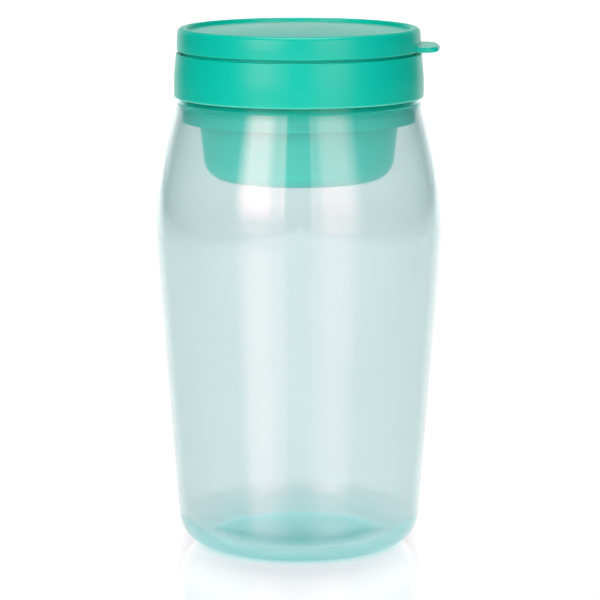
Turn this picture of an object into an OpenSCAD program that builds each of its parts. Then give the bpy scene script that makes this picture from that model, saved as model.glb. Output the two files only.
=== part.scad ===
// Food storage jar: a tapered jar with a threaded neck, a cup that hangs in the neck,
// a screw collar that clamps the cup on a gasket, and a press-on lid with a pull tab.
// Millimetres, +Z up, origin on the table under the middle of the jar.

/* [Jar] */
// Diameter at the widest line of the jar
belly_d = 104; // [98:1:120]
// Height of the widest line above the table
belly_z = 119; // [108:1:126]
// Radius of the curve that rounds the widest line
belly_round = 80; // [50:1:100]
// Radius of the long curve of the shoulder
shoulder_round = 218; // [160:1:400]
// Lean of the side wall away from upright, in degrees
wall_lean = 4.45; // [2:0.05:6]
// Radius of the rounded edge round the base, outside
base_round = 12; // [6:0.5:13]
// Radius of the rounded edge round the floor, inside
floor_round = 10; // [5:0.5:12]
// Thickness of the side wall and the shoulder
jar_wall = 2.1; // [1.4:0.1:3]
// Height of the inside floor above the table
floor_z = 3.8; // [3:0.1:6]
// Diameter of the hollow inside the foot ring
foot_in_d = 54; // [40:1:56]
// Depth of the hollow inside the foot ring
foot_h = 1.4; // [0.6:0.1:2]

/* [Neck] */
// Height of the ledge where the shoulder meets the neck
ledge_z = 162; // [156:1:172]
// Width of the ledge round the neck
ledge_w = 0.7; // [0.5:0.1:2]
// Outer diameter of the neck under its thread
neck_d = 86.3; // [78:0.1:92]
// Thickness of the neck's wall
neck_wall = 1; // [0.9:0.1:1.8]
// Height of the plain lip above the neck's thread
neck_lip = 1.7; // [0.8:0.1:4]

/* [Thread] */
// Rise of the thread in one turn
thread_lead = 4.5; // [4:0.1:6]
// Turns of the thread on the neck
neck_turns = 1.25; // [1:0.05:1.35]
// Height of the thread ridge above its wall
thread_h = 0.6; // [0.5:0.05:1]
// Width of the thread ridge at its foot
thread_foot_w = 2.4; // [1.8:0.1:2.6]
// Width of the thread ridge along its crest
thread_crest_w = 0.9; // [0.5:0.1:1.2]
// Clearance between a crest and the wall that faces it
thread_clear = 0.25; // [0.2:0.05:0.4]
// Clearance along the axis between the loaded flanks
flank_clear = 0.35; // [0.2:0.05:0.6]

/* [Gasket] */
// Thickness of the gasket
gasket_t = 1.2; // [0.8:0.1:2]
// Clearance between the gasket and the neck's rim
gasket_clear = 0.1; // [0:0.05:0.3]

/* [Cup] */
// Thickness of the cup's walls
cup_wall = 1.5; // [1.2:0.1:2]
// Clearance between the cup's plug and the neck
plug_clear = 0.2; // [0.15:0.05:0.5]
// Length of the plug below its flange
plug_len = 21.3; // [18:0.1:28]
// Thickness of the flange
flange_t = 1.6; // [1.2:0.1:2.4]
// Reach of the flange past the outside of the neck
flange_over = 0.15; // [0:0.05:0.2]
// Step from the plug out to the rim above the flange
rim_step = 0.1; // [0.1:0.05:0.6]
// Outer diameter of the cup where it leaves the plug
cup_d = 71.6; // [60:0.2:74]
// Depth of the cup below the plug
cup_depth = 21; // [14:0.5:30]
// Lean of the cup's side away from upright, in degrees
cup_lean = 6.3; // [2:0.1:9]
// Radius of the rounded edge round the cup's bottom
cup_round = 8; // [4:0.5:9]
// Height of the bead round the cup's rim
bead_h = 0.35; // [0.3:0.05:0.7]
// Width of the bead along its crest, and its distance below the rim's edge
bead_w = 1; // [0.6:0.1:1.4]
// Radius of the rounded edge round the plug's lower end
plug_round = 0.6; // [0.5:0.1:3]

/* [Collar] */
// Gap between the ledge and the lower edge of the collar
collar_gap = 2; // [1.5:0.1:2.6]
// Height of the plain lip below the collar's thread
collar_lip = 1; // [0.4:0.1:2]
// Thickness of the collar's wall behind the thread
collar_wall = 1; // [0.9:0.1:2]
// Thickness of the collar's top flange
collar_top_t = 1.6; // [1.2:0.1:2.4]
// Clearance between the collar's top flange and the cup
collar_clear = 0.25; // [0.2:0.05:0.5]
// Draw-in of the collar's side at its upper edge
collar_draw = 0.75; // [0.3:0.05:0.9]
// Height below the upper edge at which the collar's side starts to draw in
collar_draw_h = 8.5; // [3:0.1:10]
// Radius of the curve that draws the collar's side in
collar_draw_round = 50; // [20:1:80]

/* [Lid] */
// Gap between the collar and the lid
lid_gap = 0.9; // [0.5:0.1:1.5]
// Height of the lid's skirt
lid_h = 8.2; // [7:0.1:12]
// Thickness of the lid's skirt
lid_wall = 1.4; // [1:0.1:2]
// Clearance between the lid and the cup
lid_clear = 0.2; // [0.15:0.05:0.5]
// Thickness of the lid's top panel
lid_top_t = 1.6; // [1.2:0.1:2.4]
// Depth of the top panel below the lid's raised rim
lid_recess = 1.4; // [0.6:0.05:1.6]
// Width of the lid's raised rim
lid_rim_w = 3.4; // [1.8:0.1:4]
// Draw-in of the lid's side at its upper edge
lid_draw = 0.4; // [0:0.05:0.8]
// Radius of the lid's upper edge
lid_round = 1.8; // [0.8:0.1:2.2]
// Length of the ring wall that plugs the cup's mouth
lid_plug_len = 4.4; // [3:0.1:6]
// Reach of the pull tab out of the skirt
tab_reach = 6.7; // [5:0.1:8]
// Width of the pull tab
tab_w = 26; // [14:1:30]
// Thickness of the pull tab
tab_t = 1.9; // [1.4:0.1:2.5]
// Radius of the pull tab's corners in plan
tab_round = 4.5; // [2:0.1:6]

/* [Edges] */
// Radius of the small moulded edges
edge_round = 0.5; // [0.2:0.05:0.6]
// Radius of the collar's lower edge and of the broad edges inside
brow_round = 1; // [0.5:0.1:1.1]

/* [Hidden] */
$fn = 128;

// Segments of a thread ridge in one full turn
ridge_segs = 60;
// Angle over which a thread ridge fades into its wall, in degrees
ridge_fade = 36;
// Depth to which a thread ridge is rooted in its wall
ridge_root = 0.5;
// Turns of the thread in the collar
collar_turns = 1;

// Radii of the neck and of what it carries
neck_r = neck_d / 2;
neck_in_r = neck_r - neck_wall;
neck_crest_r = neck_r + thread_h;
collar_bore_r = neck_crest_r + thread_clear;
collar_crest_r = neck_r + thread_clear;
collar_r = collar_bore_r + collar_wall;
plug_r = neck_in_r - plug_clear;
flange_r = neck_r + flange_over;
collar_top_bore_r = flange_r + collar_clear;
rim_r = plug_r + rim_step;
rim_in_r = rim_r - cup_wall;
lid_in_r = rim_r + bead_h + lid_clear;
lid_r = lid_in_r + lid_wall;
lid_plug_r = rim_in_r - lid_clear;
panel_r = lid_r - lid_draw - lid_rim_w;

// The collar's ridge starts above its lip, and the neck's ridge runs above the collar's
flank_slope = (thread_foot_w - thread_crest_w) / 2 / (thread_h + ridge_root);
ridge_drop = thread_crest_w + flank_slope * (thread_h - thread_clear) + flank_clear;
collar_ridge_turn = neck_turns - collar_turns;
collar_z = ledge_z + collar_gap;
collar_ridge_z = collar_z + collar_lip + thread_foot_w / 2;
neck_ridge_z = collar_ridge_z + ridge_drop - thread_lead * collar_ridge_turn;

// Heights, stacked from the neck's thread upwards
neck_top_z = neck_ridge_z + thread_lead * neck_turns + thread_foot_w / 2 + neck_lip;
gasket_z = neck_top_z + gasket_clear;
flange_z = gasket_z + gasket_t;
collar_flange_z = flange_z + flange_t + collar_clear;
collar_top_z = collar_flange_z + collar_top_t;
lid_z = collar_top_z + lid_gap;
lid_top_z = lid_z + lid_h;
panel_z = lid_top_z - lid_recess;
panel_under_z = panel_z - lid_top_t;
rim_top_z = panel_under_z - lid_clear;
bead_z = rim_top_z - 2 * bead_w;
step_z = flange_z - plug_len;
cup_z = step_z - cup_depth;

// Centres and radii of the two tangent curves of the jar's upper side
belly_r = belly_d / 2;
ledge_r = neck_r + ledge_w;
ledge_drop = belly_r - ledge_r;
ledge_rise = ledge_z - belly_z;
arc_limit = 0.92;
one_arc_r = (ledge_drop * ledge_drop + ledge_rise * ledge_rise) / (2 * ledge_drop);
belly_arc_r = min(belly_round, arc_limit * one_arc_r);
belly_c = [belly_r - belly_arc_r, belly_z];
to_ledge = [ledge_r, ledge_z] - belly_c;
arc_gain = shoulder_round - belly_arc_r;
arc_cos = (to_ledge * to_ledge + arc_gain * arc_gain - shoulder_round * shoulder_round)
    / (2 * norm(to_ledge) * arc_gain);
shoulder_dir = atan2(to_ledge[1], to_ledge[0]) + acos(arc_cos);
shoulder_c = belly_c + arc_gain * [cos(shoulder_dir), sin(shoulder_dir)];
blend_angle = shoulder_dir - 180;
ledge_angle = atan2(ledge_z - shoulder_c[1], ledge_r - shoulder_c[0]);

// Points on an arc about centre c, from angle a to angle b in n steps
function arc_points(c, r, a, b, n) =
    [for (i = [0:n]) c + r * [cos(a + (b - a) * i / n), sin(a + (b - a) * i / n)]];

// Steps of a rounded corner of radius r
function arc_steps(r) = ceil(2 + 2.5 * sqrt(r));

function unit(v) = v / norm(v);

function flat(corner) = [corner[0], corner[1]];

// Half of the angle at corner b between the corners a and c
function half_angle(a, b, c) =
    acos(max(-1, min(1, unit(flat(a) - flat(b)) * unit(flat(c) - flat(b))))) / 2;

// Reach that a corner gets of a side when the corner at the other end wants the reach q
side_share = 0.96;
function share(side, reach, q) = min(reach, side_share * norm(side) * reach / (reach + q));

// Arc that rounds corner b between the corners a and c, touching both sides at the given reach
function round_corner(a, b, c, reach) =
    let (u = unit(flat(a) - flat(b)),
         v = unit(flat(c) - flat(b)),
         mid = flat(b) + unit(u + v) * reach / cos(half_angle(a, b, c)),
         from = flat(b) + u * reach - mid,
         to = flat(b) + v * reach - mid,
         start = atan2(from[1], from[0]),
         turn = (atan2(to[1], to[0]) - start + 900) % 360 - 180)
    arc_points(mid, norm(from), start, start + turn, arc_steps(b[2]));

// Outline through [radius, height, rounding] corners; corners without rounding stay sharp,
// and a rounding is limited by the length of the sides beside it
function outline(corners) =
    let (count = len(corners),
         before = [for (i = [0:count - 1]) corners[(i + count - 1) % count]],
         after = [for (i = [0:count - 1]) corners[(i + 1) % count]],
         wants = [for (i = [0:count - 1])
             let (p = corners[i]) p[2] > 0 ? p[2] / tan(half_angle(before[i], p, after[i])) : 0])
    [for (i = [0:count - 1])
        let (p = corners[i],
             side_a = flat(before[i]) - flat(p),
             side_c = flat(after[i]) - flat(p),
             reach_a = p[2] > 0 ? share(side_a, wants[i], wants[(i + count - 1) % count]) : 0,
             reach_c = p[2] > 0 ? share(side_c, wants[i], wants[(i + 1) % count]) : 0)
        each p[2] > 0 ? round_corner(before[i], p, after[i], min(reach_a, reach_c)) : [flat(p)]];

function sharp(points) = [for (p = points) [p[0], p[1], 0]];

function backwards(points) = [for (i = [len(points) - 1:-1:0]) points[i]];

// Radius of the side wall's outside, carried down straight to height z, for a skin t inside it
function side_r(z, t) =
    let (tangent = belly_c + (belly_arc_r - t) * [cos(wall_lean), -sin(wall_lean)])
    tangent[0] - (tangent[1] - z) * tan(wall_lean);

// Upper side of the jar for a skin t inside it, from the side wall to the shoulder's angle top,
// where the last corner is rounded to radius r
function upper_side(t, top, r) =
    let (belly = arc_points(belly_c, belly_arc_r - t, -wall_lean, blend_angle, 8),
         shoulder = arc_points(shoulder_c, shoulder_round - t, blend_angle, top, 8),
         last = len(shoulder) - 1)
    concat(sharp(belly), [for (i = [1:last]) concat(shoulder[i], i == last ? r : 0)]);

// Angle at which the shoulder's inside reaches the thickness of the wall below the ledge
inner_top_angle = asin((ledge_z - jar_wall - shoulder_c[1]) / (shoulder_round - jar_wall));

// Ridge fading factor along its length: 0 at both ends, 1 between
function fade(angle, total) = max(0, min(1, angle / ridge_fade, (total - angle) / ridge_fade));

// Cross-section of a ridge at an angle: foot_r is buried in the wall, tip_r is the crest
function ridge_section(angle, z, foot_r, tip_r) =
    let (d = [cos(angle), sin(angle)],
         wf = thread_foot_w / 2,
         wt = thread_crest_w / 2)
    [[foot_r * d[0], foot_r * d[1], z - wf],
     [tip_r * d[0], tip_r * d[1], z - wt],
     [tip_r * d[0], tip_r * d[1], z + wt],
     [foot_r * d[0], foot_r * d[1], z + wf]];

// Right-hand helical ridge on a wall of radius wall_r; crest_r lies outside or inside that wall
module thread_ridge(wall_r, crest_r, z, start, turns) {
    outward = crest_r > wall_r ? 1 : -1;
    foot_r = wall_r - outward * ridge_root;
    low_r = wall_r - outward * ridge_root / 2;
    steps = round(ridge_segs * turns);
    total = 360 * turns;
    points = [for (i = [0:steps])
        let (angle = total * i / steps,
             tip_r = low_r + (crest_r - low_r) * fade(angle, total))
        each ridge_section(start + angle, z + thread_lead * angle / 360, foot_r, tip_r)];
    last = 4 * steps;
    sides = [for (i = [0:steps - 1], k = [0:3])
        let (a = 4 * i + k,
             b = 4 * i + (k + 1) % 4,
             c = b + 4,
             d = a + 4)
        each [[a, b, c], [a, c, d]]];
    ends = [[2, 1, 0], [3, 2, 0], [last, last + 1, last + 2], [last, last + 2, last + 3]];
    faces = concat(sides, ends);
    polyhedron(points, outward > 0 ? faces : [for (f = faces) backwards(f)]);
}

module jar_body() {
    corners = concat(
        [[foot_in_d / 2, 0, edge_round],
         [side_r(0, 0), 0, base_round]],
        upper_side(0, ledge_angle, edge_round),
        [[neck_r, ledge_z, edge_round / 2],
         [neck_r, neck_top_z, edge_round],
         [neck_in_r, neck_top_z, edge_round],
         [neck_in_r, ledge_z, brow_round]],
        backwards(upper_side(jar_wall, inner_top_angle, brow_round)),
        [[side_r(floor_z, jar_wall), floor_z, floor_round],
         [0, floor_z, 0],
         [0, foot_h, 0],
         [foot_in_d / 2 - foot_h, foot_h, edge_round]]);
    color([0.72, 0.88, 0.88]) {
        rotate_extrude() polygon(outline(corners));
        thread_ridge(neck_r, neck_crest_r, neck_ridge_z, 0, neck_turns);
    }
}

module rim_gasket() {
    corners = [
        [neck_in_r, gasket_z, edge_round / 2],
        [neck_r, gasket_z, edge_round / 2],
        [neck_r, gasket_z + gasket_t, 0],
        [neck_in_r, gasket_z + gasket_t, 0]];
    color([0.85, 0.9, 0.88]) rotate_extrude() polygon(outline(corners));
}

module insert_cup() {
    cup_r = cup_d / 2;
    foot_r = cup_r - cup_depth * tan(cup_lean);
    cup_in_r = cup_r - cup_wall;
    floor_in_z = cup_z + cup_wall;
    foot_in_r = cup_in_r - (cup_depth - cup_wall) * tan(cup_lean);
    corners = [
        [0, cup_z, 0],
        [foot_r, cup_z, cup_round],
        [cup_r, step_z, edge_round],
        [plug_r, step_z, plug_round],
        [plug_r, flange_z, 0],
        [flange_r, flange_z, 0],
        [flange_r, flange_z + flange_t, edge_round],
        [rim_r, flange_z + flange_t, 0],
        [rim_r, bead_z - bead_h, 0],
        [rim_r + bead_h, bead_z, 0],
        [rim_r + bead_h, bead_z + bead_w, 0],
        [rim_r, rim_top_z, edge_round],
        [rim_in_r, rim_top_z, edge_round],
        [rim_in_r, flange_z + flange_t, 0],
        [plug_r - cup_wall, flange_z, 0],
        [plug_r - cup_wall, step_z + cup_wall, brow_round],
        [cup_in_r, step_z + cup_wall, brow_round],
        [foot_in_r, floor_in_z, cup_round - cup_wall],
        [0, floor_in_z, 0]];
    color([0.1, 0.76, 0.66]) rotate_extrude() polygon(outline(corners));
}

module screw_collar() {
    corners = [
        [collar_bore_r, collar_z, edge_round],
        [collar_r, collar_z, brow_round],
        [collar_r, collar_top_z - collar_draw_h, collar_draw_round],
        [collar_r - collar_draw, collar_top_z, edge_round],
        [rim_r + collar_clear, collar_top_z, edge_round],
        [rim_r + collar_clear, collar_flange_z, 0],
        [collar_top_bore_r, collar_flange_z, 0],
        [collar_bore_r, neck_top_z - neck_lip, 0]];
    color([0.1, 0.74, 0.64]) {
        rotate_extrude() polygon(outline(corners));
        thread_ridge(collar_bore_r, collar_crest_r, collar_ridge_z, 360 * collar_ridge_turn, collar_turns);
    }
}

// The tab's tip is an arc about the jar's axis, with a tangent arc at either corner
module tab_plan() {
    tip_r = lid_r + tab_reach;
    swing = asin((tab_w / 2 - tab_round) / (tip_r - tab_round));
    spoke = (tip_r - tab_round) * [cos(swing), sin(swing)];
    step = swing / 6;
    left = arc_points(spoke, tab_round, swing, 90, 10);
    tip = arc_points([0, 0], tip_r, step - swing, swing - step, 10);
    right = arc_points([spoke[0], -spoke[1]], tab_round, -90, -swing, 10);
    polygon(concat([[0, -tab_w / 2]], right, tip, left, [[0, tab_w / 2]]));
}

module snap_lid() {
    corners = [
        [lid_in_r, lid_z, edge_round],
        [lid_r, lid_z, edge_round],
        [lid_r - lid_draw, lid_top_z, lid_round],
        [panel_r, lid_top_z, brow_round],
        [panel_r, panel_z, edge_round],
        [0, panel_z, 0],
        [0, panel_under_z, 0],
        [lid_plug_r - lid_wall, panel_under_z, edge_round],
        [lid_plug_r - lid_wall, panel_under_z - lid_plug_len, edge_round],
        [lid_plug_r, panel_under_z - lid_plug_len, edge_round],
        [lid_plug_r, panel_under_z, 0],
        [lid_in_r, panel_under_z, 0]];
    color([0.1, 0.76, 0.66]) {
        rotate_extrude() polygon(outline(corners));
        difference() {
            translate([0, 0, lid_z]) linear_extrude(tab_t) tab_plan();
            translate([0, 0, lid_z - tab_t]) cylinder(r = lid_r - lid_wall / 2, h = 3 * tab_t);
        }
    }
}

jar_body();
rim_gasket();
insert_cup();
screw_collar();
snap_lid();
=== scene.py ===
"""Food storage jar: a clear aqua jar, a cup hanging in its neck, a screw collar and a press-on lid.

Each piece is a surface on a grid, in metres: rows follow a profile of radius and height,
and columns go round the jar's upright axis.
"""
import math

import bpy
import numpy as np
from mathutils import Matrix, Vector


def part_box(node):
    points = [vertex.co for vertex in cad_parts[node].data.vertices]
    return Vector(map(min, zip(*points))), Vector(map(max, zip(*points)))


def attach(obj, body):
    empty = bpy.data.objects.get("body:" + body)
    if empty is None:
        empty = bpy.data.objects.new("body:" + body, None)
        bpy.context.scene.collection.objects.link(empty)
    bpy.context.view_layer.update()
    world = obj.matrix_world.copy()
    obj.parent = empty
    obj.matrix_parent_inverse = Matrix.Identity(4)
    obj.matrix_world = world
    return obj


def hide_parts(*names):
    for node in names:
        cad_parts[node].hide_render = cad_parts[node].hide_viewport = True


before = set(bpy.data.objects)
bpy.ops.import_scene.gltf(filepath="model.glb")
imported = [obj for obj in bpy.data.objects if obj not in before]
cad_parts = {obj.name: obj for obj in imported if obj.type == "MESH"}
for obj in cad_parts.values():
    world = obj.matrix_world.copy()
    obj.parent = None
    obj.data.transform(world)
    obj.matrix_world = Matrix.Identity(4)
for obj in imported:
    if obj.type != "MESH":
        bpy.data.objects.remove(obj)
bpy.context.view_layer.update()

MM = 0.001
TURN = 2 * math.pi
TINY = 1e-12

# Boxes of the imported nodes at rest
jar_low, jar_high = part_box("jar_body")
gasket_low, gasket_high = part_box("rim_gasket")
cup_low, cup_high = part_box("insert_cup")
collar_low, collar_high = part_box("screw_collar")
lid_low, lid_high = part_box("snap_lid")

# Small moulded edges, the larger brow of lid and collar, and edges that look sharp
edge_round = 0.5 * MM
brow_round = 1.0 * MM
crisp_round = 0.15 * MM

# Jar: widest line, the two curves above it, the leaning wall and the base
belly_r = jar_high.x
belly_z = 119 * MM
belly_round = 80 * MM
shoulder_round = 218 * MM
wall_lean = math.radians(4.45)
base_round = 12 * MM
floor_round = 10 * MM
jar_wall = 2.1 * MM
floor_z = 3.8 * MM
foot_z = jar_low.z
foot_in_r = 27 * MM
foot_h = 1.4 * MM

# Neck and its thread
ledge_z = 162 * MM
ledge_w = 0.7 * MM
neck_r = 43.15 * MM
neck_wall = 1.0 * MM
neck_top_z = jar_high.z
thread_lead = 4.5 * MM
thread_h = 0.6 * MM
thread_foot_w = 1.72 * MM
thread_crest_w = 0.9 * MM
thread_fade = math.radians(36)
neck_turns = 1.25
neck_ridge_z = 166.564 * MM

# Cup: rim, flange, plug and the narrower cup below
cup_wall = 1.5 * MM
flange_r = cup_high.x
flange_z = gasket_high.z
flange_t = 1.6 * MM
plug_r = 41.95 * MM
plug_len = 21.3 * MM
plug_round = 0.6 * MM
rim_r = 42.05 * MM
rim_top_z = cup_high.z
bead_h = 0.35 * MM
bead_w = 1 * MM
cup_r = 35.8 * MM
cup_lean = math.radians(6.3)
cup_round = 8 * MM
cup_z = cup_low.z

# Collar
collar_r = collar_high.x
collar_bore_r = 44.0 * MM
collar_top_bore_r = 43.55 * MM
collar_bore_top_z = neck_top_z - 1.7 * MM
collar_z = collar_low.z
collar_top_z = collar_high.z
collar_top_t = 1.6 * MM
collar_clear = 0.25 * MM
collar_draw = 0.75 * MM
collar_draw_h = 8.5 * MM
collar_draw_round = 50 * MM
collar_turns = 1
collar_ridge_z = 166.2 * MM

# Lid and its pull tab, which points along +X
lid_r = lid_high.y
lid_wall = 1.4 * MM
lid_z = lid_low.z
lid_top_z = lid_high.z
lid_recess = 1.4 * MM
lid_top_t = 1.6 * MM
lid_rim_w = 3.4 * MM
lid_draw = 0.4 * MM
lid_round = 1.8 * MM
panel_crown = 1.3 * MM
lid_plug_r = 40.35 * MM
lid_plug_len = 4.4 * MM
tab_tip_r = lid_high.x
tab_half_w = 13 * MM
tab_t = 1.9 * MM
tab_round = 4.5 * MM
tab_root_round = 0.5 * MM
tab_root_blend = 0.4 * MM
tab_edge = 0.8 * MM
tab_sides_from = math.radians(12)
tab_sides_to = math.radians(19)

# Columns round the axis, and rows along the profiles
columns = 256
even_angles = np.arange(columns) * TURN / columns
run_step = 3.5 * MM
run_guard = 0.25 * MM
corner_share = 0.96
belly_rows = 20
shoulder_rows = 28
neck_rows = 50
bore_rows = 64
skirt_rows = 44
dome_rows = 16

# Near tones between which each resin drifts, then the tones of single places: a painted highlight and
# painted shade
lid_tones = (0, 0.62, 0.46), (0, 0.64, 0.48)
collar_tones = (0, 0.63, 0.47), (0, 0.65, 0.49)
# Painted light: the cup is the closure's green made lighter, for the light that the jar's wall takes from
# it
cup_lit_tones = (0, 0.74, 0.6), (0, 0.76, 0.62)
wall_tones = (0.905, 0.925, 0.925), (0.92, 0.94, 0.94)
silicone_tones = (0.74, 0.82, 0.8), (0.8, 0.86, 0.84)
# Painted highlight: paler tone of the collar's lower rounded edge
highlight_edge_tone = (0.1, 0.78, 0.58)
# Painted shade: green on the neck for the shadow under the collar
neck_shade_tone = (0.02, 0.74, 0.66)
# Painted shade: deeper aqua of the jar's floor disc
floor_shade_tone = (0.04, 0.8, 0.8)

# Lowest and highest roughness of each finish, and the part of a noise's range that drives it
closure_rough = 0.28, 0.31
cup_rough = 0.36, 0.46
jar_rough = 0.06, 0.09
silicone_rough = 0.55, 0.7
table_rough = 0.13, 0.16
noise_span = 0.15, 0.85

# Where painted shade, painted highlight and polish change: spans of height, and of distance from a point
# over the jar's floor
over_floor = (0, 0, 20 * MM)
# Painted shade: spans of the jar's floor disc
shaded_disc_edge = 32 * MM, 36 * MM
shaded_disc_top = 5 * MM, 15 * MM
polish_edge = 36 * MM, 37 * MM
polish_start = 10 * MM, 18 * MM
polish_end = ledge_z - 1 * MM, ledge_z
# Painted shade: span of height of the neck's green
neck_shade_start = ledge_z - 3 * MM, ledge_z + 0.5 * MM
# Painted highlight: span of height of the collar's lower edge
collar_highlight_edge = collar_z + 0.3 * MM, collar_z + 0.9 * MM

# Table: its own colours with a painted shade under the jar, its glow to the jar, its glow to the camera,
# and the painted aqua shade under the jar
table_dim = (0.05, 0.05, 0.05)
table_white = (0.28, 0.28, 0.28)
table_shade_under_jar = (0.05, 0.12, 0.12)
glow_dim = (0.03, 0.03, 0.03)
glow_white = (0.62, 0.62, 0.62)
seen_white = (0.7, 0.7, 0.7)
seen_shade = (0.51, 0.46, 0.48)
painted_foot_shade = (0.01, 0.34, 0.34)
painted_wall_shade = (0.34, 0.47, 0.47)

# Where the table's painted aqua shade ends, from the jar's axis and from the middle of a painted shadow
# patch behind it
foot_edge = foot_in_r, foot_in_r + 3 * MM
seen_edge = 33 * MM, 39 * MM
glow_edge = 38 * MM, 46 * MM
shadow_patch_middle = (0, 50 * MM, 0)
shadow_patch_edge = 8 * MM, 42 * MM

# Shade on the table before the jar: half width and depth of its bend, and the spans where it fades
shade_bend_w = 37 * MM
shade_bend_y = 45 * MM
shade_ahead = -52 * MM, -100 * MM
shade_beside = 39 * MM, 44 * MM
shade_behind = 0.0, 25 * MM

# Table top, and the white sheet on it: its half width along Y, and where its sides fade in shares of that
table_half = 6.0
table_z = -0.05 * MM
sheet_y = -2.0, 6.0
sheet_half_w = 0.14, 3.58
sheet_right = 0.5, 1.1
sheet_left = -0.4, -0.9

# Backdrop: spans of heading over which it brightens ahead and dims upwards, with its glow at both ends
backdrop_ahead = 0.7, 0.9
backdrop_ahead_glow = 0.03, 1.1
backdrop_up = 0.1, 0.32
backdrop_up_glow = 1.15, 0.25

# Softboxes: distance, height, the heights between which they brighten, and the glow of the near edge
softbox_distance = 1.3
softbox_top_z = 1.05
softbox_grow_z = 0.12, 0.35
softbox_near_glow = 0.45


def arc(centre, radius, start, stop, count):
    """Points on a circle: the centre plus the radius times the cosine and sine of even angles."""
    angles = np.linspace(start, stop, count)
    return np.asarray(centre) + radius * np.column_stack([np.cos(angles), np.sin(angles)])


def corners_of(points, rounding=0.0):
    """Corners made of points: each gets no rounding, but the last one gets the given rounding."""
    roundings = np.zeros(len(points))
    roundings[-1] = rounding
    return np.column_stack([points, roundings])


def straight_run(start, end):
    """Points between two ends: equal steps, with one point close to either end.

    The close points keep the shading of the run flat up to the rounded corners.
    """
    length = np.linalg.norm(end - start)
    if length <= run_step:
        return np.empty((0, 2))
    spread = np.linspace(run_guard, length - run_guard, 2 + int(length / run_step))
    return start + (end - start) * spread[:, None] / length


def rounded_path(corners, closed=False):
    """Profile through corners of radius, height and rounding.

    A rounded corner becomes the arc that touches both of its sides. The arc starts at a reach
    of rounding / tan(half of the corner's angle), and two corners share the side between them.
    """
    corners = np.asarray(corners, dtype=float)
    points, rounding = corners[:, :2], corners[:, 2]
    side_back = np.roll(points, 1, axis=0) - points
    side_on = np.roll(points, -1, axis=0) - points
    length_back = np.linalg.norm(side_back, axis=1)
    length_on = np.linalg.norm(side_on, axis=1)
    side_back = side_back / length_back[:, None]
    side_on = side_on / length_on[:, None]
    half = np.arccos(np.clip((side_back * side_on).sum(axis=1), -1, 1)) / 2
    want = rounding / np.tan(half)
    share_back = want / (want + np.roll(want, 1) + TINY)
    share_on = want / (want + np.roll(want, -1) + TINY)
    room = corner_share * np.minimum(length_back * share_back, length_on * share_on)
    reach = np.minimum(want, room)
    arcs = [round_corner(*corner) for corner in zip(points, side_back, side_on, half, reach)]
    pieces = [arcs[0]]
    for last, following in zip(arcs, arcs[1:] + arcs[:1] * closed):
        pieces += [straight_run(last[-1], following[0]), following]
    return np.vstack(pieces[:-1] if closed else pieces)


def round_corner(point, side_back, side_on, half, reach):
    """Arc that touches both sides of a corner at the given reach.

    Its centre lies on the bisector, and its points blend the two touching spokes by sines.
    A larger radius gets more points, up to a radius of 8 mm.
    """
    if reach <= 0:
        return point[None, :]
    middle = side_back + side_on
    centre = point + middle / np.linalg.norm(middle) * reach / math.cos(half)
    spoke_start = point + side_back * reach - centre
    spoke_end = point + side_on * reach - centre
    turn = math.pi - 2 * half
    radius = reach * math.tan(half)
    fineness = 6 + 14 * min(1, radius / (8 * MM))
    part = np.linspace(0, 1, 3 + math.ceil(turn * fineness))[:, None]
    spokes = np.sin((1 - part) * turn) * spoke_start + np.sin(part * turn) * spoke_end
    return centre + spokes / math.sin(turn)


def thread_relief(path, wall_r, start_z, first_angle, turns):
    """Height of a screw ridge over a wall, at each profile point and angle.

    The ridge's middle climbs by one lead in a turn. Its section is a trapezium across that line,
    it fades in and out at both ends, and it is zero on points that aren't on the wall.
    """
    on_wall = np.isclose(path[:, 0], wall_r, atol=0.001 * MM)[:, None]
    relief = np.zeros((len(path), columns))
    for winding in range(math.ceil(turns) + 1):
        along = (even_angles - first_angle) % TURN + TURN * winding
        across = np.abs(path[:, 1:2] - start_z - thread_lead * along / TURN)
        flank = (thread_foot_w / 2 - across) / ((thread_foot_w - thread_crest_w) / 2)
        fade = np.minimum(along, TURN * turns - along) / thread_fade
        section = thread_h * np.clip(flank, 0, 1) * np.clip(fade, 0, 1)
        relief = np.maximum(relief, np.where(on_wall, section, 0))
    return relief


def carried_round(name, radius, height, angles, closed):
    """Mesh object of a profile carried round the axis.

    A grid point is (radius cos angle, radius sin angle, height). A closed profile joins its last
    row to its first; an open one starts and ends on the axis, where one point closes the grid.
    """
    if not closed:
        pole_z = (height[0, 0], height[-1, 0])
        radius, height = radius[1:-1], height[1:-1]
    rows, cols = radius.shape
    grid = np.stack([radius * np.cos(angles), radius * np.sin(angles), height], axis=-1)
    spots = grid.reshape(-1, 3)
    here = np.arange(rows * cols).reshape(rows, cols)
    beside = np.roll(here, -1, axis=1)
    upper = np.roll(here, -1, axis=0)
    upper_beside = np.roll(beside, -1, axis=0)
    quads = np.stack([here, beside, upper_beside, upper], axis=-1)
    faces = (quads if closed else quads[:-1]).reshape(-1, 4).tolist()
    if not closed:
        first, last = rows * cols, rows * cols + 1
        spots = np.vstack([spots, [[0, 0, pole_z[0]], [0, 0, pole_z[1]]]])
        faces += np.column_stack([np.full(cols, first), beside[0], here[0]]).tolist()
        faces += np.column_stack([here[-1], beside[-1], np.full(cols, last)]).tolist()
    mesh = bpy.data.meshes.new(name)
    mesh.from_pydata(spots.tolist(), [], faces)
    mesh.polygons.foreach_set("use_smooth", np.ones(len(mesh.polygons), dtype=bool))
    mesh.update()
    piece = bpy.data.objects.new(name, mesh)
    bpy.context.scene.collection.objects.link(piece)
    return piece


def plain_round(name, path, relief=0.0, closed=False):
    """Mesh object of one profile carried round at even angles, with a relief added to its radius."""
    radius = np.repeat(path[:, :1], columns, axis=1) + relief
    height = np.repeat(path[:, 1:2], columns, axis=1)
    return carried_round(name, radius, height, even_angles, closed)


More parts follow.
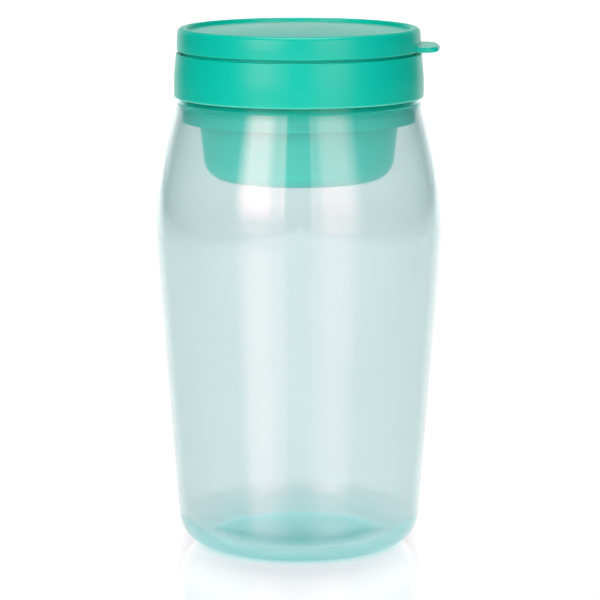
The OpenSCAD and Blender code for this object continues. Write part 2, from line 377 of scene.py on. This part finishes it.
def jar_side(skin):
    """Upper side of the jar for a skin inside it: belly arc, then the tangent shoulder arc.

    The shoulder's centre is where a circle of its radius touches the belly's circle
    from inside and passes through the ledge's edge.
    """
    belly_c = np.array([belly_r - belly_round, belly_z])
    ledge = np.array([neck_r + ledge_w, ledge_z])
    to_ledge = ledge - belly_c
    gain = shoulder_round - belly_round
    far = np.linalg.norm(to_ledge)
    swing = math.acos((far ** 2 + gain ** 2 - shoulder_round ** 2) / (2 * far * gain))
    away = math.atan2(to_ledge[1], to_ledge[0]) + swing
    shoulder_c = belly_c + gain * np.array([math.cos(away), math.sin(away)])
    top_z = ledge_z - skin
    blend = away - math.pi
    top = math.asin((top_z - shoulder_c[1]) / (shoulder_round - skin))
    belly = arc(belly_c, belly_round - skin, -wall_lean, blend, belly_rows)
    shoulder = arc(shoulder_c, shoulder_round - skin, blend, top, shoulder_rows)
    return np.vstack([belly, shoulder[1:]])


def wall_foot(side, z):
    """Radius at which the straight wall below a side's first point reaches the height z."""
    return side[0, 0] - (side[0, 1] - z) * math.tan(wall_lean)


def make_jar():
    """Jar: foot, leaning wall, belly, shoulder, ledge, threaded neck and the inside in one skin."""
    outer = jar_side(0)
    inner = jar_side(jar_wall)
    neck_in_r = neck_r - neck_wall
    neck_z = np.linspace(ledge_z + brow_round, neck_top_z - brow_round, neck_rows)
    neck = np.column_stack([np.full(neck_rows, neck_r), neck_z])
    path = rounded_path(np.vstack([
        [[0, foot_h, 0],
         [foot_in_r - foot_h, foot_h, edge_round],
         [foot_in_r, foot_z, edge_round],
         [wall_foot(outer, foot_z), foot_z, base_round]],
        corners_of(outer, edge_round),
        [[neck_r, ledge_z, edge_round / 2]],
        corners_of(neck),
        [[neck_r, neck_top_z, edge_round],
         [neck_in_r, neck_top_z, edge_round],
         [neck_in_r, ledge_z, brow_round]],
        corners_of(inner, brow_round)[::-1],
        [[wall_foot(inner, floor_z), floor_z, floor_round],
         [0, floor_z, 0]]]))
    relief = thread_relief(path, neck_r, neck_ridge_z, 0, neck_turns)
    return plain_round("clear_jar", path, relief)


def make_gasket():
    """Gasket: a flat ring with softened edges."""
    inner_r = neck_r - neck_wall
    path = rounded_path([
        [inner_r, gasket_low.z, edge_round / 2],
        [neck_r, gasket_low.z, edge_round / 2],
        [neck_r, gasket_high.z, crisp_round],
        [inner_r, gasket_high.z, crisp_round]], closed=True)
    return plain_round("soft_gasket", path, closed=True)


def make_cup():
    """Cup: rounded bottom, leaning side, step, plug band, flange, beaded rim and the inside."""
    step_z = flange_z - plug_len
    flange_top_z = flange_z + flange_t
    bead_z = rim_top_z - 2 * bead_w
    in_r = cup_r - cup_wall
    bottom_r = cup_r - (step_z - cup_z) * math.tan(cup_lean)
    bottom_in_r = in_r - (step_z - cup_z - cup_wall) * math.tan(cup_lean)
    path = rounded_path([
        [0, cup_z, 0],
        [bottom_r, cup_z, cup_round],
        [cup_r, step_z, edge_round],
        [plug_r, step_z, plug_round],
        [plug_r, flange_z, crisp_round],
        [flange_r, flange_z, crisp_round],
        [flange_r, flange_top_z, edge_round],
        [rim_r, flange_top_z, crisp_round],
        [rim_r, bead_z - bead_h, crisp_round],
        [rim_r + bead_h, bead_z, crisp_round],
        [rim_r + bead_h, bead_z + bead_w, crisp_round],
        [rim_r, rim_top_z, edge_round],
        [rim_r - cup_wall, rim_top_z, edge_round],
        [rim_r - cup_wall, flange_top_z, brow_round],
        [plug_r - cup_wall, flange_z, brow_round],
        [plug_r - cup_wall, step_z + cup_wall, brow_round],
        [in_r, step_z + cup_wall, brow_round],
        [bottom_in_r, cup_z + cup_wall, cup_round - cup_wall],
        [0, cup_z + cup_wall, 0]])
    return plain_round("hanging_cup", path)


def make_collar():
    """Collar: a skirt whose side draws in towards its upper edge, a top flange and a threaded bore."""
    flange_under_z = collar_top_z - collar_top_t
    mouth_r = rim_r + collar_clear
    bore_z = np.linspace(collar_bore_top_z - crisp_round, collar_z + brow_round, bore_rows)
    bore = np.column_stack([np.full(bore_rows, collar_bore_r), bore_z])
    path = rounded_path(np.vstack([
        [[collar_bore_r, collar_z, edge_round],
         [collar_r, collar_z, brow_round],
         [collar_r, collar_top_z - collar_draw_h, collar_draw_round],
         [collar_r - collar_draw, collar_top_z, edge_round],
         [mouth_r, collar_top_z, edge_round],
         [mouth_r, flange_under_z, crisp_round],
         [collar_top_bore_r, flange_under_z, crisp_round],
         [collar_bore_r, collar_bore_top_z, 0]],
        corners_of(bore)]), closed=True)
    first_angle = TURN * (neck_turns - collar_turns)
    relief = thread_relief(path, collar_bore_r, collar_ridge_z, first_angle, collar_turns)
    return plain_round("grip_collar", path, -relief, closed=True)


def tab_reach(angles):
    """Reach of the pull tab out of the skirt at each angle, seen from above.

    The tab's tip is an arc about the jar's axis, its sides are straight, and a circle joins them at
    either corner. The edge along a ray is the arc, the circle or the side, whichever the ray meets,
    and a smooth maximum with zero rounds the tab's root.
    """
    across = np.abs(np.sin(angles))
    ahead = np.cos(angles)
    swing = math.asin((tab_half_w - tab_round) / (tab_tip_r - tab_round))
    corner = (tab_tip_r - tab_round) * np.array([math.cos(swing), math.sin(swing)])
    side = tab_half_w / np.maximum(across, TINY)
    towards = corner[0] * ahead + corner[1] * across
    off_line = corner[0] * across - corner[1] * ahead
    bend = towards + np.sqrt(np.maximum(tab_round ** 2 - off_line ** 2, 0))
    on_tip = across < math.sin(swing)
    on_side = side * ahead < corner[0]
    edge = np.where(on_tip, tab_tip_r, np.where(on_side, side, bend))
    reach = np.where(ahead > 0, edge, 0) - lid_r
    return (reach + np.sqrt(reach ** 2 + tab_root_blend ** 2)) / 2


def tab_skirt(angles, top_z):
    """Lower part of the skirt's outside, at each angle, with the tab drawn out of it.

    The section runs along the underside, turns up round the tip's lower edge, climbs the tip,
    turns back round its upper edge, comes in along the top, and turns up the skirt through a
    root arc. Where there is no tab, the same runs shrink to the skirt's own edge and wall.
    """
    reach = np.maximum(tab_reach(angles), 0)
    rim = edge_round + (tab_edge - edge_round) * np.clip(reach / tab_edge, 0, 1)
    bend = rim + tab_root_round
    back = np.arccos(np.clip(1 - reach / bend, 0, 1))
    start_r = lid_r - lid_wall + edge_round
    tip_h = tab_t - 2 * rim
    quarter = rim * math.pi / 2
    top_run = np.maximum(reach - bend, 0)
    wall = top_z - (lid_z + rim + tip_h + bend * np.sin(back))
    runs = np.stack([lid_r + reach - rim - start_r, quarter, tip_h, rim * back,
                     top_run, tab_root_round * back, wall])
    starts = np.vstack([np.zeros_like(reach), np.cumsum(runs, axis=0)[:-1]])
    along = np.linspace(0, 1, skirt_rows)[:, None] * runs.sum(axis=0)
    passed = np.clip(along - starts[:, None], 0, runs[:, None])
    under, turn_up, climb, turn_back, come_in, root, rise = passed
    turn_up, turn_back, root = turn_up / rim, turn_back / rim, root / tab_root_round
    radius = (start_r + under + rim * np.sin(turn_up) - rim * (1 - np.cos(turn_back))
              - come_in * np.sin(back) - tab_root_round * (np.cos(back - root) - np.cos(back)))
    height = (lid_z + rim * (1 - np.cos(turn_up)) + climb + rim * np.sin(turn_back)
              + come_in * np.cos(back) + tab_root_round * (np.sin(back) - np.sin(back - root)) + rise)
    return radius, height


def lid_angles():
    """Angles round the lid, closer together over the tab and closest along its two sides."""
    inner, outer = tab_sides_from, tab_sides_to
    return np.concatenate([
        np.linspace(-outer, -inner, 49, endpoint=False),
        np.linspace(-inner, inner, 40, endpoint=False),
        np.linspace(inner, outer, 49, endpoint=False),
        np.linspace(outer, TURN - outer, 220, endpoint=False)])


def make_lid():
    """Lid: panel underside and plug ring, skirt with its pull tab, raised rim and sunk panel.

    The panel's dome falls from its crown with the square of the radius.
    """
    panel_z = lid_top_z - lid_recess
    under_z = panel_z - lid_top_t
    lid_in_r = lid_r - lid_wall
    panel_r = lid_r - lid_draw - lid_rim_w
    plug_in_r = lid_plug_r - lid_wall
    plug_z = under_z - lid_plug_len
    tab_top_z = lid_z + tab_t + brow_round + edge_round
    inside = rounded_path([
        [0, under_z, 0],
        [plug_in_r, under_z, edge_round],
        [plug_in_r, plug_z, edge_round],
        [lid_plug_r, plug_z, edge_round],
        [lid_plug_r, under_z, crisp_round],
        [lid_in_r, under_z, crisp_round],
        [lid_in_r, lid_z, edge_round],
        [lid_in_r + edge_round, lid_z, 0]])
    dome_r = np.linspace(panel_r - brow_round, 0, dome_rows)
    dome = np.column_stack([dome_r, panel_z + panel_crown * (1 - (dome_r / panel_r) ** 2)])
    outside = rounded_path(np.vstack([
        [[lid_r, tab_top_z, 0],
         [lid_r - lid_draw, lid_top_z, lid_round],
         [panel_r, lid_top_z, brow_round],
         [panel_r, panel_z, edge_round]],
        corners_of(dome)]))
    angles = lid_angles()
    skirt_r, skirt_z = tab_skirt(angles, tab_top_z)
    spread = np.ones((1, len(angles)))
    radius = np.vstack([inside[:-1, :1] * spread, skirt_r, outside[1:, :1] * spread])
    height = np.vstack([inside[:-1, 1:] * spread, skirt_z, outside[1:, 1:] * spread])
    return carried_round("tab_lid", radius, height, angles, closed=False)


def object_coords(tree):
    """Object coordinates, which every pattern follows."""
    return tree.nodes.new("ShaderNodeTexCoord").outputs["Object"]


def split(tree, vector):
    """X, Y and Z of a vector."""
    node = tree.nodes.new("ShaderNodeSeparateXYZ")
    tree.links.new(vector, node.inputs["Vector"])
    return node.outputs["X"], node.outputs["Y"], node.outputs["Z"]


def noise(tree, coords, scale, detail):
    """Noise texture on the given coordinates; scale is a number or a socket."""
    node = tree.nodes.new("ShaderNodeTexNoise")
    node.inputs["Detail"].default_value = detail
    tree.links.new(coords, node.inputs["Vector"])
    if isinstance(scale, (int, float)):
        node.inputs["Scale"].default_value = scale
    else:
        tree.links.new(scale, node.inputs["Scale"])
    return node.outputs["Fac"]


def remap(tree, value, low, high, to_low, to_high):
    """Value stretched from one range to another; the ends of the new range may be sockets."""
    node = tree.nodes.new("ShaderNodeMapRange")
    ends = {"From Min": low, "From Max": high, "To Min": to_low, "To Max": to_high}
    for label, end in ends.items():
        if isinstance(end, (int, float)):
            node.inputs[label].default_value = end
        else:
            tree.links.new(end, node.inputs[label])
    tree.links.new(value, node.inputs["Value"])
    return node.outputs["Result"]


def climbing(tree, value, low, high, top=1.0):
    """Value that climbs from nothing at low to its top at high."""
    return remap(tree, value, low, high, 0.0, top)


def falling(tree, value, low, high, top=1.0):
    """Value that falls from its top at low to nothing at high."""
    return remap(tree, value, low, high, top, 0.0)


def pair_math(tree, operation, first, second):
    """Math node on two sockets."""
    node = tree.nodes.new("ShaderNodeMath")
    node.operation = operation
    tree.links.new(first, node.inputs[0])
    tree.links.new(second, node.inputs[1])
    return node.outputs["Value"]


def lesser(tree, first, second):
    """Lesser of two values."""
    return pair_math(tree, "MINIMUM", first, second)


def greater(tree, first, second):
    """Greater of two values."""
    return pair_math(tree, "MAXIMUM", first, second)


def distance_from(tree, spot, centre):
    """Distance of a spot from a centre."""
    node = tree.nodes.new("ShaderNodeVectorMath")
    node.operation = "DISTANCE"
    tree.links.new(spot, node.inputs[0])
    node.inputs[1].default_value = centre
    return node.outputs["Value"]


def blended(tree, mask, first, second):
    """Colour that goes from the first tone to the second with a mask; a tone may be a socket."""
    mix = tree.nodes.new("ShaderNodeMix")
    mix.data_type = "RGBA"
    for label, tone in (("A", first), ("B", second)):
        if isinstance(tone, tuple):
            mix.inputs[label].default_value = (*tone, 1)
        else:
            tree.links.new(tone, mix.inputs[label])
    tree.links.new(mask, mix.inputs["Factor"])
    return mix.outputs["Result"]


def new_group(name, inputs, outputs):
    """Empty node group with named inputs (name, default) and named outputs, all plain values."""
    tree = bpy.data.node_groups.new(name, "ShaderNodeTree")
    for label, value in inputs:
        socket = tree.interface.new_socket(label, in_out="INPUT", socket_type="NodeSocketFloat")
        socket.default_value = value
    for label in outputs:
        tree.interface.new_socket(label, in_out="OUTPUT", socket_type="NodeSocketFloat")
    return tree, tree.nodes.new("NodeGroupInput"), tree.nodes.new("NodeGroupOutput")


def moulded_grain_group():
    """Fine texture of a spark-eroded mould: grain height, and roughness that drifts with handling."""
    inputs = [("Grain scale", 2600), ("Rough low", 0.34), ("Rough high", 0.44)]
    tree, given, out = new_group("moulded_grain", inputs, ["Height", "Roughness"])
    coords = object_coords(tree)
    grain = noise(tree, coords, given.outputs["Grain scale"], detail=2)
    drift = noise(tree, coords, scale=45, detail=3)
    rough = remap(tree, drift, *noise_span, given.outputs["Rough low"], given.outputs["Rough high"])
    tree.links.new(grain, out.inputs["Height"])
    tree.links.new(rough, out.inputs["Roughness"])
    return tree


def resin_tone_group():
    """Slow clouds in the pigment: a mask that blends two near tones of one resin."""
    tree, given, out = new_group("resin_tone", [("Cloud scale", 30)], ["Tone"])
    cloud = noise(tree, object_coords(tree), given.outputs["Cloud scale"], detail=4)
    tree.links.new(climbing(tree, cloud, *noise_span), out.inputs["Tone"])
    return tree


def new_material(name):
    """Empty material with a Principled shader; gives the material, its tree and the shader."""
    material = bpy.data.materials.new(name)
    material.use_nodes = True
    tree = material.node_tree
    return material, tree, tree.nodes["Principled BSDF"]


def place_group(tree, group, **values):
    """Group node in a material, with its inputs set; underscores in the names stand for spaces."""
    node = tree.nodes.new("ShaderNodeGroup")
    node.node_tree = group
    for label, value in values.items():
        node.inputs[label.replace("_", " ")].default_value = value
    return node


def resin_colour(tree, tones, cloud_scale):
    """Colour that drifts between two near tones in clouds of the given scale."""
    clouds = place_group(tree, resin_tone, Cloud_scale=cloud_scale)
    return blended(tree, clouds.outputs["Tone"], *tones)


def grained(tree, shader, rough, scale):
    """Mould's grain with its drifting roughness on a shader; gives the grain's height."""
    grain = place_group(tree, moulded_grain, Grain_scale=scale, Rough_low=rough[0], Rough_high=rough[1])
    tree.links.new(grain.outputs["Roughness"], shader.inputs["Roughness"])
    return grain.outputs["Height"]


def grain_bump(tree, shader, height, strength, depth):
    """Bump of a given depth in metres from a height, on a shader."""
    bump = tree.nodes.new("ShaderNodeBump")
    bump.inputs["Strength"].default_value = strength
    bump.inputs["Distance"].default_value = depth
    tree.links.new(height, bump.inputs["Height"])
    tree.links.new(bump.outputs["Normal"], shader.inputs["Normal"])


def satin_material(name, tones, rough, gloss, edge=None):
    """Satin moulded plastic in two near tones of its pigment, with the mould's fine grain.

    Where an edge's span of height is given, the thin rounded edge below it gets a painted highlight, a
    paler tone.
    """
    material, tree, shader = new_material(name)
    colour = resin_colour(tree, tones, cloud_scale=30)
    if edge is not None:
        # Painted highlight: a paler tone along the lower edge
        height = split(tree, object_coords(tree))[2]
        colour = blended(tree, falling(tree, height, *edge), colour, highlight_edge_tone)
    tree.links.new(colour, shader.inputs["Base Color"])
    grain = grained(tree, shader, rough, scale=2600)
    grain_bump(tree, shader, grain, strength=0.06, depth=0.04 * MM)
    shader.inputs["IOR"].default_value = 1.49
    shader.inputs["Specular IOR Level"].default_value = gloss
    return material


def clear_material(name):
    """Hazy aqua plastic with a polished skin: light passes softly, and thickness deepens the colour.

    The disc of the floor lies inside a ball about a point of the axis. It has painted shade, a deeper
    aqua, and no polish. The neck has the closure's green painted on it as shade under the collar,
    and has no polish either.
    """
    material, tree, shader = new_material(name)
    spot = object_coords(tree)
    height = split(tree, spot)[2]
    from_middle = distance_from(tree, spot, over_floor)
    # Painted shade: a deeper aqua on the floor disc
    outward = climbing(tree, from_middle, *shaded_disc_edge)
    upward = climbing(tree, height, *shaded_disc_top)
    off_shaded_disc = greater(tree, outward, upward)
    # Painted shade: the closure's green on the neck under the collar
    on_neck_shade = climbing(tree, height, *neck_shade_start)
    wall = resin_colour(tree, wall_tones, cloud_scale=12)
    sides = blended(tree, on_neck_shade, wall, neck_shade_tone)
    tree.links.new(blended(tree, off_shaded_disc, floor_shade_tone, sides), shader.inputs["Base Color"])
    grain = grained(tree, shader, jar_rough, scale=60)
    grain_bump(tree, shader, grain, strength=0.01, depth=0.05 * MM)
    shader.inputs["IOR"].default_value = 1.5
    shader.inputs["Transmission Weight"].default_value = 0.98
    polish = 0.9
    outer_corner = climbing(tree, from_middle, *polish_edge, polish)
    above_floor = climbing(tree, height, *polish_start, polish)
    below_neck = falling(tree, height, *polish_end, polish)
    coat = lesser(tree, greater(tree, outer_corner, above_floor), below_neck)
    tree.links.new(coat, shader.inputs["Coat Weight"])
    shader.inputs["Coat Roughness"].default_value = 0.03
    hazy_inside(tree)
    return material


def hazy_inside(tree):
    """Inside of the jar's plastic: it absorbs red and scatters light forwards, both by thickness."""
    absorption = tree.nodes.new("ShaderNodeVolumeAbsorption")
    absorption.inputs["Color"].default_value = (0.1, 0.97, 0.97, 1)
    absorption.inputs["Density"].default_value = 50
    haze = tree.nodes.new("ShaderNodeVolumeScatter")
    haze.inputs["Color"].default_value = (0.8, 1, 1, 1)
    haze.inputs["Density"].default_value = 120
    haze.inputs["Anisotropy"].default_value = 0.75
    both = tree.nodes.new("ShaderNodeAddShader")
    tree.links.new(absorption.outputs["Volume"], both.inputs[0])
    tree.links.new(haze.outputs["Volume"], both.inputs[1])
    tree.links.new(both.outputs["Shader"], tree.nodes["Material Output"].inputs["Volume"])


def silicone_material(name):
    """Soft milky silicone: matt and finely grained."""
    material, tree, shader = new_material(name)
    colour = resin_colour(tree, silicone_tones, cloud_scale=60)
    tree.links.new(colour, shader.inputs["Base Color"])
    grain = grained(tree, shader, silicone_rough, scale=1500)
    grain_bump(tree, shader, grain, strength=0.2, depth=0.03 * MM)
    return material


def settle(piece, material, body, node):
    """Material, carrying body, replaced node and finish slot of a piece."""
    piece.data.materials.append(material)
    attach(piece, body)
    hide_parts(node)


def stage_sheet(name, corners, material):
    """Four-cornered stage surface with a material."""
    mesh = bpy.data.meshes.new(name)
    mesh.from_pydata(corners, [], [(0, 1, 2, 3)])
    mesh.materials.append(material)
    item = bpy.data.objects.new(name, mesh)
    bpy.context.scene.collection.objects.link(item)
    return item


def softbox(name, azimuths, strength, bottom_glow):
    """Tall glowing panel beside the camera, which the camera itself doesn't see.

    Its five azimuths count from the camera's side. From its near edge the glow keeps a low level
    up to the second azimuth, climbs to its full strength at the third, keeps it up to the fourth and
    falls to nothing at the fifth. It also grows with height. Its mirror image is warmer.
    """
    distance, top_z = softbox_distance, softbox_top_z
    middle = math.radians((azimuths[0] + azimuths[-1]) / 2)
    edges = [distance * math.tan(math.radians(angle) - middle) for angle in azimuths]
    near, low, full, fade, far = edges
    material = bpy.data.materials.new(name)
    material.use_nodes = True
    tree = material.node_tree
    tree.nodes.clear()
    across, _, height = split(tree, object_coords(tree))
    climb = remap(tree, across, low, full, softbox_near_glow * strength, strength)
    fall = falling(tree, across, fade, far, strength)
    growth = remap(tree, height, *softbox_grow_z, bottom_glow, 1.0)
    glow = pair_math(tree, "MULTIPLY", lesser(tree, climb, fall), growth)
    mirrored = tree.nodes.new("ShaderNodeLightPath").outputs["Is Glossy Ray"]
    light = tree.nodes.new("ShaderNodeEmission")
    tree.links.new(blended(tree, mirrored, (1, 1, 1), (1, 0.5, 0.55)), light.inputs["Color"])
    tree.links.new(glow, light.inputs["Strength"])
    out = tree.nodes.new("ShaderNodeOutputMaterial")
    tree.links.new(light.outputs["Emission"], out.inputs["Surface"])
    left, right = min(near, far), max(near, far)
    corners = [(right, 0, 0), (left, 0, 0), (left, 0, top_z), (right, 0, top_z)]
    panel = stage_sheet(name, corners, material)
    panel.location = (distance * math.sin(middle), -distance * math.cos(middle), 0)
    panel.rotation_euler = (0, 0, middle)
    panel.visible_camera = False


def white_sheet(tree, x, y):
    """Mask of a white sheet on the table: a strip about the Y axis that widens evenly with Y."""
    half_width = remap(tree, y, *sheet_y, *sheet_half_w)
    spread = pair_math(tree, "DIVIDE", x, half_width)
    return lesser(tree, falling(tree, spread, *sheet_left), falling(tree, spread, *sheet_right))


def front_shade(tree, x, y):
    """Mask of the soft shade before the jar.

    It fades with the distance ahead of a parabola, which bends back with the square of X,
    and it ends beside the jar and behind its middle.
    """
    square = pair_math(tree, "MULTIPLY", x, x)
    bend = climbing(tree, square, 0.0, shade_bend_w ** 2, shade_bend_y)
    ahead = pair_math(tree, "SUBTRACT", y, bend)
    fade = falling(tree, ahead, *shade_ahead)
    within = falling(tree, square, shade_beside[0] ** 2, shade_beside[1] ** 2)
    before = falling(tree, y, *shade_behind)
    return lesser(tree, fade, lesser(tree, within, before))


def make_floor():
    """Pale glossy table top just under the jar's foot.

    To the jar it is a white sheet that widens behind it, on a dim table. The camera sees it white
    all over, with a painted shade in front of the jar. The jar's aqua shadow is painted on it under
    the foot and on a patch behind it, and its base colour is painted darker under the jar.
    """
    material, tree, shader = new_material("pale_table")
    grained(tree, shader, table_rough, scale=400)
    shader.inputs["IOR"].default_value = 2.3
    shader.inputs["Emission Strength"].default_value = 1
    spot = object_coords(tree)
    x, y, _ = split(tree, spot)
    sheet = white_sheet(tree, x, y)
    from_axis = distance_from(tree, spot, (0, 0, 0))
    from_patch = distance_from(tree, spot, shadow_patch_middle)
    off_foot = climbing(tree, from_axis, *foot_edge)
    # Painted aqua shade of the jar under its foot and wall
    painted_jar_shade = blended(tree, off_foot, painted_foot_shade, painted_wall_shade)
    beside = climbing(tree, from_axis, *glow_edge)
    # Painted shadow patch behind the jar, where the glow takes the painted shade
    off_shadow_patch = climbing(tree, from_patch, *shadow_patch_edge)
    lit = blended(tree, lesser(tree, beside, off_shadow_patch), painted_jar_shade, glow_white)
    glow = blended(tree, sheet, glow_dim, lit)
    open_air = climbing(tree, from_axis, *seen_edge)
    shaded = blended(tree, front_shade(tree, x, y), seen_white, seen_shade)
    # The camera sees the painted shade under the jar too
    seen = blended(tree, open_air, painted_jar_shade, shaded)
    camera_ray = tree.nodes.new("ShaderNodeLightPath").outputs["Is Camera Ray"]
    tree.links.new(blended(tree, camera_ray, glow, seen), shader.inputs["Emission Color"])
    # Base colour painted darker aqua under the jar as shade
    white = blended(tree, open_air, table_shade_under_jar, table_white)
    tree.links.new(blended(tree, sheet, table_dim, white), shader.inputs["Base Color"])
    half, z = table_half, table_z
    corners = [(-half, -half, z), (half, -half, z), (half, half, z), (-half, half, z)]
    stage_sheet("table_top", corners, material)


def make_light():
    """Dim room with a white backdrop behind the jar, two softboxes beside the camera and a top light.

    The backdrop fades to either side with the heading's Y, and upwards with its Z.
    """
    world = bpy.data.worlds.new("dim_room")
    world.use_nodes = True
    tree = world.node_tree
    backdrop = tree.nodes["Background"]
    backdrop.inputs["Color"].default_value = (1, 1, 1, 1)
    heading = tree.nodes.new("ShaderNodeTexCoord").outputs["Generated"]
    _, ahead, up = split(tree, heading)
    ahead_glow = remap(tree, ahead, *backdrop_ahead, *backdrop_ahead_glow)
    up_glow = remap(tree, up, *backdrop_up, *backdrop_up_glow)
    tree.links.new(lesser(tree, ahead_glow, up_glow), backdrop.inputs["Strength"])
    bpy.context.scene.world = world
    softbox("left_softbox", (-11, -20, -28, -42, -54), strength=5.1, bottom_glow=0.2)
    softbox("right_softbox", (10, 15, 22, 40, 54), strength=2.6, bottom_glow=0.6)
    top_light = bpy.data.lights.new("top_light", "AREA")
    top_light.size = 0.9
    top_light.energy = 10
    item = bpy.data.objects.new("top_light", top_light)
    item.location = (0, 0.1, 1.5)
    bpy.context.scene.collection.objects.link(item)


def make_camera():
    """Long lens at the photograph's place, looking down a little at the jar."""
    look_down = 9.45
    lens = bpy.data.cameras.new("photo_camera")
    lens.lens = 201.4
    lens.sensor_width = 36
    camera = bpy.data.objects.new("photo_camera", lens)
    camera.location = (0.4 * MM, -1205 * MM, 290.1 * MM)
    camera.rotation_euler = (math.radians(90 - look_down), 0, 0)
    bpy.context.scene.collection.objects.link(camera)
    bpy.context.scene.camera = camera


moulded_grain = moulded_grain_group()
resin_tone = resin_tone_group()

make_camera()
make_light()
make_floor()

# Light passes the jar's walls many times
scene = bpy.context.scene
scene.view_settings.view_transform = "Standard"
scene.cycles.max_bounces = 24
scene.cycles.transmission_bounces = 24
scene.cycles.glossy_bounces = 24
scene.cycles.diffuse_bounces = 12
scene.cycles.volume_bounces = 12

lid_green = satin_material("lid_green", lid_tones, closure_rough, gloss=0.45)
collar_green = satin_material("collar_green", collar_tones, closure_rough, gloss=0.42, edge=collar_highlight_edge)
cup_green = satin_material("cup_green", cup_lit_tones, cup_rough, gloss=0.42)
clear_aqua = clear_material("clear_aqua")
milky_silicone = silicone_material("milky_silicone")

clear_jar = make_jar()
clear_jar.visible_shadow = False
settle(clear_jar, clear_aqua, "jar", "jar_body")
settle(make_gasket(), milky_silicone, "cup", "rim_gasket")
settle(make_cup(), cup_green, "cup", "insert_cup")
settle(make_collar(), collar_green, "collar", "screw_collar")
settle(make_lid(), lid_green, "lid", "snap_lid")
